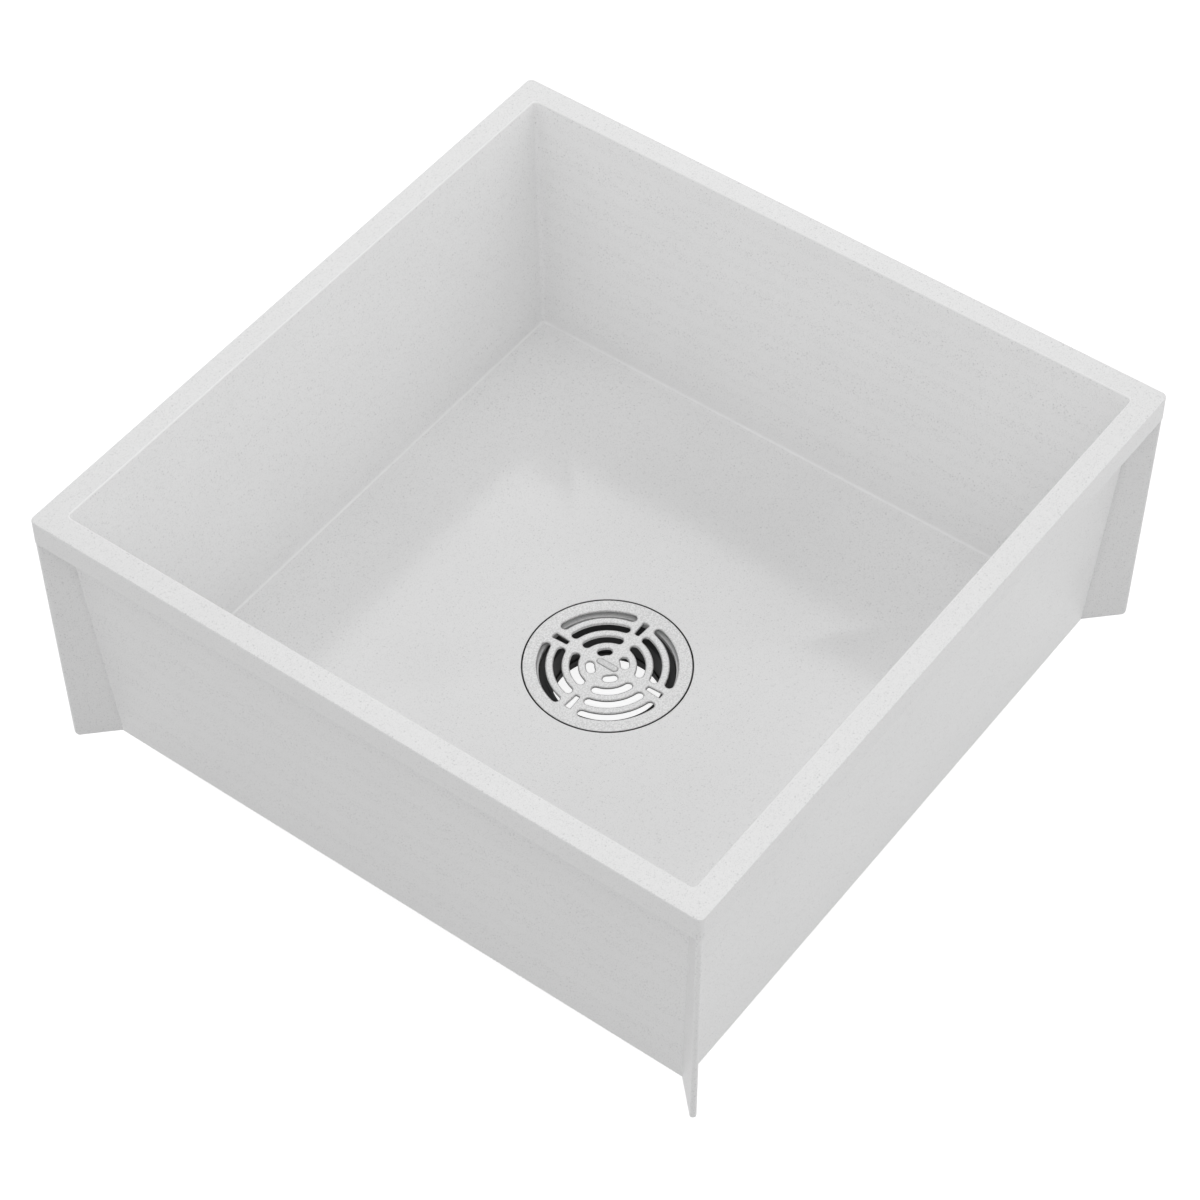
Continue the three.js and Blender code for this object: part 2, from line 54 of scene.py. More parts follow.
RIM_Z = 292.5
CHANNEL_Z = 283.5  # the top of the recess between the skirt and the wall
SKIRT_Z = 268.1
FLOOR_EDGE_Z = 61.5
FLOOR_LOW_Z = 48.0
FEET_Z = 38.5
LEDGE_Z = 42.7
SEAT_Z = 32.9
HUB_Z = 23.9
FLOOR_THICKNESS = 8.0
BASIN_HALF = 304.8
SKIRT_INNER_HALF = 298.3
BOWL_HALF = 284.5
WALL_TOP_HALF = 288.855
WALL_FOOT_HALF = 275.586
FOOT_INNER_HALF = 267.586
FLOOR_EDGE_HALF = 267.941
RIM_CORNER = 5.0
RIM_INNER_ROUND = 1.2
BOWL_CORNER = 4.0
WALL_CORNER = 1.5
HUB_TOP_RADIUS = 76.3
HUB_FOOT_RADIUS = 74.3
RECESS_RADIUS = 69.1
LEDGE_RADIUS = 55.2
BORE_RADIUS = 49.8

FOOT_LIFT = 0.04  # of the fins' and ribs' feet over the walls' feet
FIN_HALF = 2.5
FIN_ROUND = 2.2
FIN_FOOT_ROUND = 5.0
FIN_INSET = 0.4  # behind the rim's corner
FIN_TAPER = 3.4  # how far its outer edge falls back at the feet
FIN_LEAN_TOP = 1.5  # over the skirt's lower edge, where that lean ends
FIN_TUCK_START = 3.0  # over the skirt's lower edge, where the outer edge turns in under the rim
FIN_TUCK = 6.5  # how far it turns in at its top
FIN_TOP_COVER = 4.5  # how far its top runs up into the rim
FIN_ROOT_COVER = 1.5  # from the bowl's corner to its root, inside the wall
FIN_EVEN_ROWS = 12.0  # over its foot, where its rows begin to be evenly spaced
FIN_FACE_SHARES = np.array([0.0, 0.35, 0.7, 0.9, 1.0])  # columns along a face, from the root out
FIN_FACE_HOLD = 0.4  # from a face's last column to the round edge

RIB_COVER = 4.0  # how far a rib runs into the hub and into the wall
RIB_RISES = np.array([0.0, 0.3, 1.0, 1.6, 6.0, 14.0])  # rows over its foot, which the floor cuts off
RIB_HALVES = np.array([2.6, 3.2, 3.5, 3.52, 3.6, 3.7])  # its half width at each row

# ---- The grate's sizes ----

GRATE_RADIUS = 68.2
GRATE_BOTTOM_Z = 43.0
GRATE_TOP_Z = 48.0
GRATE_WEB = 2.0
GRATE_RIM_WIDTH = 8.0
GRATE_HOLD = 0.12  # as HOLD, for its thin plate
SLOT_EDGE = (1.2, 0.7, 0.3)  # crown width, crown depth and bottom round
RIM_EDGE = (0.6, 0.6, 0.4)
SLOT_HALF_SPANS = [11.0, 28.8, 30.4, 31.0]  # degrees, from the innermost row out
SLOT_HALF_WIDTH = 3.4
INNERMOST_SLOT = 14.0
OUTERMOST_SLOT = 53.3
SPOKE_SLOT_LENGTH = 14.0
SPOKE_SLOT_ROUND = 0.9
SPOKE_SLOT_HALVES = (1.0, 1.7)  # to the middles of its corners' rounds, at its inner and outer end
PAD_HALF_WIDTH = 3.0
PAD_HALF_STRAIGHT = 7.0
PAD_EDGE = [(0.35, -0.6), (0.3, -0.05), (0.1, 0.15), (-0.35, 0.27), (-0.8, 0.33), (-1.3, 0.35)]


# ---- Meshes ----


def make_object(name, points, quads, triangles=()):
    """A mesh object from points in millimetres and index arrays of quads and triangles, shaded smooth."""
    points = np.asarray(points, float).reshape(-1, 3) * MM
    faces = np.asarray(quads).tolist() + np.asarray(triangles).tolist()
    mesh = bpy.data.meshes.new(name)
    mesh.from_pydata(points.tolist(), [], faces)
    mesh.validate()
    mesh.polygons.foreach_set("use_smooth", [True] * len(mesh.polygons))
    mesh.update()
    piece = bpy.data.objects.new(name, mesh)
    bpy.context.scene.collection.objects.link(piece)
    return piece


def wrap_quads(rows, columns, rows_close=True):
    """Quads of a grid of rows by columns whose columns close on themselves, and its rows where asked.

    Row r and column c have the index r * columns + c. The faces turn so that they point out where the
    columns run anticlockwise from above and the rows run up the outside.
    """
    row = np.arange(rows if rows_close else rows - 1)[:, None]
    column = np.arange(columns)[None, :]
    here, after = row * columns, (row + 1) % rows * columns
    beside = (column + 1) % columns
    corners = (here + column, here + beside, after + beside, after + column)
    return np.stack([np.broadcast_to(c, (len(row), columns)) for c in corners], -1).reshape(-1, 4)


def stack(parts):
    """Several (points, quads) surfaces as one, with the later ones' indices moved up."""
    points, quads, start = [], [], 0
    for part_points, part_quads in parts:
        part_points = np.asarray(part_points).reshape(-1, 3)
        points.append(part_points)
        quads.append(np.asarray(part_quads) + start)
        start += len(part_points)
    return np.concatenate(points), np.concatenate(quads)


def rays(turn):
    """Unit plan directions, as the cosine and sine of each turn from +X."""
    return np.stack([np.cos(turn), np.sin(turn)], -1)


def turn_plan(plan, turn):
    """Plan coordinates turned about the axis: x cos - y sin, and x sin + y cos."""
    cos, sin = math.cos(turn), math.sin(turn)
    x, y = plan[..., 0], plan[..., 1]
    return np.stack([x * cos - y * sin, x * sin + y * cos], -1)


def closed_plate(outlines, turn=0.0):
    """A plate from rows of outlines, turned about the axis, with its first and last outline closed.

    Each outline runs out along one side and back along the other, with an even count of points, so a
    cap's quads join each point to the one across from it.
    """
    rows, columns = outlines.shape[:2]
    points = np.concatenate([turn_plan(outlines[..., :2], turn), outlines[..., 2:]], -1)
    first = np.arange(columns // 2)
    mirror = columns - 1 - first
    bottom = np.stack([first[:-1], mirror[:-1], mirror[1:], first[1:]], 1)
    top = bottom[:, ::-1] + (rows - 1) * columns
    return points, np.concatenate([wrap_quads(rows, columns, rows_close=False), bottom, top])


def arc_fall(radius, distance):
    """How far a quarter round has fallen back from its flat, at a distance in from its outer end."""
    return radius - np.sqrt(np.clip(radius**2 - np.clip(radius - distance, 0, None) ** 2, 0, None))


def soften(section, steps=6, hold=HOLD):
    """A closed section with each corner replaced by an arc.

    The section is a list of (reach, height, round, *more). An arc is tangent to both sides. A point is
    added just outside each end of an arc, so that the flat beside it keeps its own normal. Whatever
    more a corner carries is repeated along its arc, and a plan radius among it follows the arc's offset.
    """
    out = []
    for index, corner in enumerate(section):
        here = np.array(corner[:2], float)
        back = np.array(section[index - 1][:2], float) - here
        ahead = np.array(section[(index + 1) % len(section)][:2], float) - here
        back_length, ahead_length = np.linalg.norm(back), np.linalg.norm(ahead)
        back, ahead = back / back_length, ahead / ahead_length
        half_angle = math.acos(float(np.clip(back @ ahead, -1, 1))) / 2
        tangent = corner[2] / math.tan(half_angle)
        inward = back + ahead
        centre = here + inward / np.linalg.norm(inward) * corner[2] / math.sin(half_angle)
        start, end = here + back * tangent - centre, here + ahead * tangent - centre
        sweep = math.atan2(start[0] * end[1] - start[1] * end[0], float(start @ end))
        arc = [turn_plan(start, sweep * share) + centre for share in np.linspace(0, 1, steps + 1)]
        keep = [min(hold, 0.45 * (length - tangent)) for length in (back_length, ahead_length)]
        for point in [here + back * (tangent + keep[0]), *arc, here + ahead * (tangent + keep[1])]:
            offset = point[0] - corner[0]
            out.append([*point, *([corner[3] + offset, *corner[4:]] if len(corner) > 3 else [])])
    return out


# ---- The basin ----

SIDE_TURN = math.radians(42)
SIDE_STEPS = 14
SIDE_HOLD = 0.9985  # the share of a side's turn where the strip beside a corner begins
CORNER_STEPS = 12
FALL_ROWS = 24  # mixed between a circle and a square


def plan_ring(half, corner, is_round):
    """Points once round a square ring with rounded corners, or round a circle, anticlockwise from +X.

    A side's points lie where rays at equal turns meet it, and a corner's points lie at equal turns of its
    arc. A circle takes the same count of points, with its sides' turns up to 42 degrees.
    """
    side = np.append(np.linspace(0, SIDE_TURN, SIDE_STEPS), SIDE_TURN * SIDE_HOLD)
    side.sort()
    share = np.linspace(0, 1, CORNER_STEPS + 1)[1:]
    if is_round:
        bend = SIDE_TURN + (QUARTER - 2 * SIDE_TURN) * share
        first = half * rays(np.concatenate([side, bend, QUARTER - side[-2:0:-1]]))
    else:
        straight = half - corner
        along = straight * np.tan(side) / math.tan(SIDE_TURN)
        rising = np.stack([np.full_like(along, half), along], 1)
        first = np.concatenate([rising, straight + corner * rays(QUARTER * share), rising[-2:0:-1, ::-1]])
    quarters = [first]
    for _ in range(3):
        quarters.append(np.stack([-quarters[-1][:, 1], quarters[-1][:, 0]], 1))
    return np.concatenate(quarters)


def basin_shell():
    """The basin's walls, rim, skirt, floor and hub as one closed grid.

    Each row is a level ring, a rounded square or a circle, and the rows follow the section once round:
    up the outlet's bore, out over the floor, up the bowl, over the rim, down the skirt, down the wall to
    its foot and back under the floor. Where a circle meets a square, the rows between are mixed in equal
    shares, which gives the floor its fall from all four sides.
    """
    # Each corner: reach, height, round, the plan's own radius, and 1 where the plan is a circle.
    section = soften(
        [
            (BORE_RADIUS, HUB_Z, 0.5, BORE_RADIUS, 1),
            (BORE_RADIUS, SEAT_Z, 0.3, BORE_RADIUS, 1),
            (LEDGE_RADIUS, SEAT_Z, 0.4, LEDGE_RADIUS, 1),
            (LEDGE_RADIUS, LEDGE_Z, 0.8, LEDGE_RADIUS, 1),
            (RECESS_RADIUS, LEDGE_Z, 0.5, RECESS_RADIUS, 1),
            (RECESS_RADIUS, FLOOR_LOW_Z, 0.7, RECESS_RADIUS, 1),
            (FLOOR_EDGE_HALF, FLOOR_EDGE_Z, 2.5, BOWL_CORNER, 0),
            (BOWL_HALF, RIM_Z, RIM_INNER_ROUND, BOWL_CORNER, 0),
            (BASIN_HALF, RIM_Z, 1.0, RIM_CORNER, 0),
            (BASIN_HALF, SKIRT_Z, 1.5, RIM_CORNER, 0),
            (SKIRT_INNER_HALF, SKIRT_Z, 1.5, RIM_CORNER, 0),
            (SKIRT_INNER_HALF, CHANNEL_Z, 3.0, RIM_CORNER, 0),
            (WALL_TOP_HALF, CHANNEL_Z, 3.0, WALL_CORNER, 0),
            (WALL_FOOT_HALF, FEET_Z, 1.0, WALL_CORNER, 0),
            (FOOT_INNER_HALF, FEET_Z, 1.0, BOWL_CORNER, 0),
            (FOOT_INNER_HALF - 1.0, FLOOR_EDGE_Z - FLOOR_THICKNESS, 3.0, BOWL_CORNER, 0),
            (HUB_TOP_RADIUS, FLOOR_LOW_Z - FLOOR_THICKNESS, 1.5, HUB_TOP_RADIUS, 1),
            (HUB_FOOT_RADIUS, HUB_Z, 1.0, HUB_FOOT_RADIUS, 1),
        ]
    )
    rings, kinds = [], []
    for reach, height, corner, is_round in section:
        plan = plan_ring(reach, corner, is_round)
        rings.append(np.column_stack([plan, np.full(len(plan), height)]))
        kinds.append(is_round)
    shares = np.linspace(0, 1, FALL_ROWS + 2)[1:-1, None, None]
    filled = []
    for index, ring in enumerate(rings):
        filled.append(ring)
        after = (index + 1) % len(rings)
        if kinds[index] != kinds[after]:
            filled.extend(ring[None] * (1 - shares) + rings[after][None] * shares)
    points = np.stack(filled)
    # The rows run up the inside and down the outside, so the quads are turned over.
    return points, wrap_quads(len(points), points.shape[1])[:, ::-1]


def corner_reach(half, corner):
    """How far a rounded square ring reaches from the axis along its diagonal."""
    return (half - corner) * math.sqrt(2) + corner


def corner_fin(turn):
    """An upright fin on a diagonal, from inside the wall out to just behind the rim's corner.

    Each row is a level outline: out along one face, round the outer edge and back along the other face.
    The outer edge leans in evenly to the foot and ends in an arc, and turns in again under the rim. The
    half thickness narrows over the last millimetres by a circle's rise, so all the lower edges are round.
    """
    top_reach = corner_reach(BASIN_HALF, RIM_CORNER) - FIN_INSET
    foot = FEET_Z + FOOT_LIFT
    top = CHANNEL_Z + FIN_TOP_COVER
    near_foot = FIN_FOOT_ROUND * (1 - np.cos(np.linspace(0, QUARTER, 13)))
    above = np.linspace(foot + FIN_EVEN_ROWS, top, 24)
    height = np.concatenate([foot + near_foot, [foot + FIN_FOOT_ROUND + HOLD], above])
    rise = height - foot
    lean = np.clip(rise / (SKIRT_Z + FIN_LEAN_TOP - foot), 0, 1)
    reach = top_reach - FIN_TAPER * (1 - lean) - arc_fall(FIN_FOOT_ROUND, rise)
    tucked = top_reach - FIN_TUCK * (height - SKIRT_Z) / (top - SKIRT_Z)
    reach = np.where(height > SKIRT_Z + FIN_TUCK_START, tucked, reach)
    half = FIN_HALF - arc_fall(FIN_ROUND, rise)
    bowl_reaches = [corner_reach(FOOT_INNER_HALF, BOWL_CORNER), corner_reach(BOWL_HALF, BOWL_CORNER)]
    root = np.interp(height, [foot, top], bowl_reaches) + FIN_ROOT_COVER
    across = half[:, None] * np.sin(np.linspace(-QUARTER, QUARTER, 18))
    edge = np.stack([reach[:, None] - arc_fall(FIN_ROUND, FIN_HALF - np.abs(across)), across], -1)
    face_end = edge[:, 0, 0] - FIN_FACE_HOLD
    run = root[:, None] + (face_end - root)[:, None] * FIN_FACE_SHARES
    near = np.stack([run, np.broadcast_to(-half[:, None], run.shape)], -1)
    outline = np.concatenate([near, edge, near[:, ::-1] * [1, -1]], 1)
    level = np.broadcast_to(height[:, None, None], (*outline.shape[:2], 1))
    return closed_plate(np.concatenate([outline, level], -1), turn)


def floor_rib(reach, turn):
    """A rib under the floor: a bar whose level outline is a thin oblong, drafted towards its foot.

    Its half width grows from row to row, the lowest rows round its edge, and each row rises only as far
    as a line through the middle of the floor's thickness.
    """
    along = np.linspace(HUB_FOOT_RADIUS - RIB_COVER, reach, 30)
    ceiling = np.interp(along, [HUB_TOP_RADIUS, reach], [FLOOR_LOW_Z, FLOOR_EDGE_Z]) - FLOOR_THICKNESS / 2
    up = np.minimum(FEET_Z + FOOT_LIFT + RIB_RISES[:, None], ceiling)
    across = np.broadcast_to(-RIB_HALVES[:, None], up.shape)
    near = np.stack([np.broadcast_to(along, up.shape), across, up], -1)
    return closed_plate(np.concatenate([near, near[:, ::-1] * [1, -1, 1]], 1), turn)


def make_basin():
    """The moulding: the shell with a fin on each diagonal and a rib to each side and corner."""
    parts = [basin_shell()]
    rib_end = FOOT_INNER_HALF + RIB_COVER
    for side in range(4):
        turn = side * QUARTER
        parts.append(corner_fin(turn + QUARTER / 2))
        parts.append(floor_rib(rib_end, turn))
        parts.append(floor_rib(corner_reach(rib_end, WALL_CORNER), turn + QUARTER / 2))
    return make_object("basin_moulding", *stack(parts))


# ---- The grate ----


def arc_slot(radius, half_span, middle):
    """A slot along an arc with round ends, as a function of how far its edge stands out.

    Points run anticlockwise about the slot: the outer arc, one round end, the inner arc and the other end.
    """
    start, end = math.radians(middle - half_span), math.radians(middle + half_span)
    arc = rays(np.linspace(start, end, max(6, int(half_span * 0.9))))
    bend = np.linspace(0, math.pi, 13)[1:-1]

    def outline(offset):
        width = SLOT_HALF_WIDTH + offset
        cap_end = radius * rays(end) + width * rays(end + bend)
        cap_start = radius * rays(start) + width * rays(start + math.pi + bend)
        return np.concatenate([(radius + width) * arc, cap_end, (radius - width) * arc[::-1], cap_start])

    return outline


def spoke_slot(turn):
    """A slot along a spoke, wider at its outer end, as a function of how far its edge stands out.

    Each corner is a quarter circle about a fixed point, and the offset adds to its radius.
    """
    inner, outer = SPOKE_SLOT_HALVES
    near = OUTERMOST_SLOT - SPOKE_SLOT_LENGTH + SPOKE_SLOT_ROUND
    far = OUTERMOST_SLOT - SPOKE_SLOT_ROUND
    corners = [(2, near, -inner), (3, far, -outer), (0, far, outer), (1, near, inner)]

    def outline(offset):
        arcs = []
        for quarter, *centre in corners:
            bend = quarter * QUARTER + np.linspace(0, QUARTER, 6)
            arcs.append(np.array(centre) + (SPOKE_SLOT_ROUND + offset) * rays(bend))
        return turn_plan(np.concatenate(arcs), turn)

    return outline


def pad_outline(offset):
    """The middle pad's outline: an oblong with round ends along Y, larger by an offset all round."""
    upper = (PAD_HALF_WIDTH + offset) * rays(np.linspace(0, math.pi, 13)) + [0, PAD_HALF_STRAIGHT]
    return np.concatenate([upper, -upper])


def edge_profile(crown_width, crown_depth, bottom_round, low, high):
    """Offsets and heights down the side of a hole or a rim.

    The top is a quarter of an ellipse, so that a bar between two slots is crowned, and the bottom is a
    quarter of a circle.
    """
    turn = np.linspace(0, QUARTER, 7)
    top = np.stack([crown_width * (1 - np.sin(turn)), high - crown_depth * (1 - np.cos(turn))], 1)
    foot = np.stack([bottom_round * (1 - np.cos(turn)), low + bottom_round * (1 - np.sin(turn))], 1)
    return np.concatenate([[[crown_width + GRATE_HOLD, high]], top, foot, [[bottom_round + GRATE_HOLD, low]]])


def carried(outline, profile):
    """Rows of an outline, one for each offset and height of a profile."""
    return np.stack([np.column_stack([outline(o), np.full(len(outline(o)), z)]) for o, z in profile])


def level_fill(loops, up):
    """Triangles between level loops, the first of which holds the others, that face up or down.

    A loop is the index of its first point and its points. The sign of a triangle's area, half the cross
    product of two edges, says whether it has to be turned over, and one with no area is left out.
    """
    index = np.concatenate([first + np.arange(len(loop)) for first, loop in loops])
    flat = np.array(tessellate_polygon([[Vector(point) for point in loop] for _, loop in loops]))
    corners = np.concatenate([loop for _, loop in loops])[flat]
    edge_a, edge_b = corners[:, 1] - corners[:, 0], corners[:, 2] - corners[:, 0]
    area = edge_a[:, 0] * edge_b[:, 1] - edge_a[:, 1] * edge_b[:, 0]
    facing = np.where(((area > 0) == up)[:, None], flat, flat[:, ::-1])
    return index[facing[np.abs(area) > 1e-9]]


def make_grate():
    """The slotted disc: each edge is a profile carried round its outline, and flats fill between them.

    The profile's offset widens a slot and narrows the rim. The rim's own profile runs down its side, in
    under its foot and up to the underside of the thin plate. The top and bottom flats are the polygon
    inside the rim's edge with each slot's edge as a hole.
    """
    under = GRATE_TOP_Z - GRATE_WEB
    depth = under - GRATE_BOTTOM_Z
    inner_face = [(-0.5, 0.0), (-0.3, 0.0), (0.0, 0.3), (0.0, depth - 0.3), (0.3, depth), (0.45, depth)]
    inner_face = np.array(inner_face) + [GRATE_RIM_WIDTH, GRATE_BOTTOM_Z]
    rim_profile = np.concatenate([edge_profile(*RIM_EDGE, GRATE_BOTTOM_Z, GRATE_TOP_Z), inner_face])
    slot_profile = edge_profile(*SLOT_EDGE, under, GRATE_TOP_Z)
    round_way = rays(np.linspace(0, 2 * math.pi, 193)[:-1])
    edges = [carried(lambda offset: (GRATE_RADIUS - offset) * round_way, rim_profile)]
    pitch = (OUTERMOST_SLOT - INNERMOST_SLOT) / (len(SLOT_HALF_SPANS) - 1)
    for quarter in range(4):
        for row, span in enumerate(SLOT_HALF_SPANS):
            slot = arc_slot(INNERMOST_SLOT + pitch * row, span, 45 + 90 * quarter)
            edges.append(carried(slot, slot_profile))
        edges.append(carried(spoke_slot(quarter * QUARTER), slot_profile))
    parts, top, bottom, start = [], [], [], 0
    for edge in edges:
        rows, columns = edge.shape[:2]
        quads = wrap_quads(rows, columns, rows_close=False)
        # The rim comes first. It faces out where a slot's side faces in, so its quads are turned over.
        parts.append((edge, quads if parts else quads[:, ::-1]))
        top.append((start, edge[0]))
        bottom.append((start + (rows - 1) * columns, edge[-1]))
        start += rows * columns
    parts.append(closed_plate(carried(pad_outline, PAD_EDGE) + [0, 0, GRATE_TOP_Z]))
    flats = np.concatenate([level_fill(top, True), level_fill(bottom, False)])
    return make_object("slotted_grate", *stack(parts), flats)


# ---- The outlet fittings ----

GRIP_LEVELS = np.array([-0.5, -0.1, 0.3, 0.8])  # from a grip's lower end up, or from its upper end down


def turned_piece(name, section, grips=None, steps=192):
    """A section turned about the outlet's axis, with grips standing out of its side where asked.

    The section's corners are (radius, height, round), and it runs up its outer side. grips is (count,
    length, half width, bottom, top). A point on the outer side moves out by the length times a smooth
    step of its distance along the arc and an even ramp at the grip's ends.
    """
    profile = np.array(soften(section, steps=4, hold=0.25))
    turn = np.linspace(0, 2 * math.pi, steps + 1)[:-1]
    grip = 0.0
    if grips:
        count, length, half_width, bottom, top = grips
        reach = profile[:, 0].max()
        side = np.flatnonzero(np.isclose(profile[:, 0], reach, atol=0.02))
        # Levels are added up the side, so that the grips have a lower and an upper end.
        levels = np.concatenate([bottom + GRIP_LEVELS, top - GRIP_LEVELS[::-1]])
        levels = levels[(levels > profile[side[0], 1]) & (levels < profile[side[-1], 1])]
        added = np.column_stack([np.full(len(levels), reach), levels])
        profile = np.concatenate([profile[: side[0] + 1], added, profile[side[-1] :]])
        pitch = 2 * math.pi / count
        along = np.abs((turn + pitch / 2) % pitch - pitch / 2) * reach
        across = np.clip(half_width + 0.5 - along, 0, 1)
        inside = np.minimum(profile[:, 1] - bottom, top - profile[:, 1])
        upward = np.clip(2 * inside + 0.5, 0, 1) * (profile[:, 0] > reach - 0.05)
        grip = length * across**2 * (3 - 2 * across) * upward[:, None]
    radius = np.broadcast_to(profile[:, :1] + grip, (len(profile), steps))
    height = np.broadcast_to(profile[:, 1:], radius.shape)
    points = np.stack([radius * np.cos(turn), radius * np.sin(turn), height], -1)
    return make_object(name, points, wrap_quads(*radius.shape))


def make_fittings():
    """The outlet's turned fittings, each by the frame's node that it stands for."""
    return {
        "drain_body": turned_piece(
            "outlet_body",
            [
                (46.0, 8.8, 0.4),
                (49.3, 8.8, 0.4),
                (49.3, 35.5, 0.4),
                (54.8, 35.5, 0.4),
                (54.8, 39.5, 0.6),
                (50.0, 39.5, 0.8),
                (46.0, 33.0, 1.5),
            ],
        ),
        "flange_gasket": turned_piece(
            "flange_ring_seal",
            [(49.8, 33.2, 0.3), (54.8, 33.2, 0.5), (54.8, 35.2, 0.5), (49.8, 35.2, 0.3)],
        ),
        "friction_washer": turned_piece(
            "slip_washer",
            [(49.8, 21.6, 0.3), (62.0, 21.6, 0.4), (62.0, 23.6, 0.4), (49.8, 23.6, 0.3)],
        ),
        "lock_nut": turned_piece(
            "clamping_nut",
            [(49.8, 12.8, 0.3), (60.0, 12.8, 1.2), (60.0, 21.3, 0.8), (49.8, 21.3, 0.3)],
            grips=(8, 5.95, 4.2, 14.0, 20.2),
            steps=384,
        ),
        "pipe_nut": turned_piece(
            "pipe_coupling_nut",
            [
                (45.4, 0.0, 0.3),
                (56.0, 0.0, 1.2),
                (56.0, 12.5, 0.6),
                (49.8, 12.5, 0.3),
                (49.8, 2.6, 0.3),
                (45.4, 2.6, 0.3),
            ],
            grips=(16, 1.55, 1.7, 2.4, 11.4),
            steps=384,
        ),
        "pipe_seal": turned_piece(
            "pipe_ring_seal",
            [(44.8, 2.9, 1.0), (49.5, 2.9, 0.4), (49.5, 8.5, 1.0), (44.8, 8.5, 0.5)],
        ),
    }


# ---- Shader trees ----


def feed(tree, socket, value):
    """Links an input from another node's output, or sets its value."""
    if isinstance(value, bpy.types.NodeSocket):
        tree.links.new(value, socket)
    else:
        socket.default_value = value


def add(tree, kind, settings=None, **inputs):
    """A node with its settings, and its inputs fed with values or other nodes' outputs.

    An input goes by its label with underscores for spaces, or by its number after an underscore.
    """
    node = tree.nodes.new(kind)
    for name, value in (settings or {}).items():
        setattr(node, name, value)
    for name, value in inputs.items():
        feed(tree, node.inputs[int(name[1:]) if name[0] == "_" else name.replace("_", " ")], value)
    return node


def math_node(tree, operation, a, b=0.0, c=0.0):
    """The result of one operation on up to three values."""
    return add(tree, "ShaderNodeMath", {"operation": operation}, _0=a, _1=b, _2=c).outputs[0]


def times(tree, a, b):
    """A product."""
    return math_node(tree, "MULTIPLY", a, b)


def remap(tree, value, low, high, to_low=0.0, to_high=1.0):
    """A value's smooth step from low to high, as a value from to_low to to_high."""
    node = add(tree, "ShaderNodeMapRange", {"interpolation_type": "SMOOTHSTEP"}, Value=value)
    for label, level in (("From Min", low), ("From Max", high), ("To Min", to_low), ("To Max", to_high)):
        feed(tree, node.inputs[label], level)
    return node.outputs["Result"]


def noise(tree, vector, scale, detail, **more):
    """A noise texture's outputs."""
    return add(tree, "ShaderNodeTexNoise", Vector=vector, Scale=scale, Detail=detail, **more).outputs


# ---- Effects that materials share ----


def new_group(name, levels, masks):
    """An empty shader group that takes a vector and the named levels, and puts out the named masks."""
    group = bpy.data.node_groups.new(name, "ShaderNodeTree")
    group.interface.new_socket("Vector", in_out="INPUT", socket_type="NodeSocketVector")
    for label, level in levels.items():
        socket = group.interface.new_socket(label, in_out="INPUT", socket_type="NodeSocketFloat")
        socket.default_value = level
    for label in masks:
        group.interface.new_socket(label, in_out="OUTPUT", socket_type="NodeSocketFloat")
    given = group.nodes.new("NodeGroupInput")
    return group, given.outputs, group.nodes.new("NodeGroupOutput").inputs


def make_speckle_group():
    """Specks in stone: cells of two sizes with a random share kept, and a fine grain and clouds between.

    A speck fades out from its cell's middle. It is kept where the cell's random red is over a limit, and
    the cell's random green sets its strength. A fine noise moves the cells, so specks aren't quite round.
    """
    group, given, out = new_group(
        "stone_specks", {"Fine Size": 900.0, "Coarse Size": 420.0, "Share": 0.5}, ["Specks", "Grain", "Clouds"]
    )
    vector = given["Vector"]
    masks = []
    for label, core, end, most_kept in (("Fine Size", 0.18, 0.42, 0.70), ("Coarse Size", 0.16, 0.30, 0.45)):
        warp = noise(group, vector, 700.0, 1.0)["Color"]
        shift = add(group, "ShaderNodeVectorMath", {"operation": "SCALE"}, _0=warp, Scale=0.0007)
        moved = add(group, "ShaderNodeVectorMath", {"operation": "ADD"}, _0=vector, _1=shift.outputs[0])
        cells = add(group, "ShaderNodeTexVoronoi", Vector=moved.outputs[0], Scale=given[label]).outputs
        pick = add(group, "ShaderNodeSeparateColor", Color=cells["Color"]).outputs
        limit = math_node(group, "SUBTRACT", 1.0, times(group, given["Share"], most_kept))
        kept = math_node(group, "GREATER_THAN", pick["Red"], limit)
        spot = times(group, remap(group, cells["Distance"], core, end, 1.0, 0.0), kept)
        masks.append(times(group, spot, math_node(group, "MULTIPLY_ADD", pick["Green"], 0.6, 0.4)))
    feed(group, out["Specks"], math_node(group, "MAXIMUM", *masks))
    feed(group, out["Grain"], noise(group, vector, 1400.0, 2.0, Roughness=0.6)["Fac"])
    feed(group, out["Clouds"], noise(group, vector, 16.0, 4.0, Roughness=0.6)["Fac"])
    return group


def make_surface_group():
    """What a made surface has all over: soft waves, a fine texture and thin scuffs, each from 0 to 1.

    The scuffs are the peaks of a noise that is stretched along one slanting direction.
    """
    group, given, out = new_group(
        "surface_detail", {"Wave Size": 20.0, "Texture Size": 900.0}, ["Waves", "Texture", "Scuffs"]
    )
    vector = given["Vector"]
    slant, stretch = (0.3, 0.2, 0.6), (140.0, 9.0, 40.0)
    stretched = add(group, "ShaderNodeMapping", Vector=vector, Rotation=slant, Scale=stretch).outputs[0]
    lines = noise(group, stretched, 1.0, 3.0, Roughness=0.7)["Fac"]
    feed(group, out["Waves"], noise(group, vector, given["Wave Size"], 1.0)["Fac"])
    feed(group, out["Texture"], noise(group, vector, given["Texture Size"], 2.0)["Fac"])
    feed(group, out["Scuffs"], remap(group, lines, 0.60, 0.72))
    return group


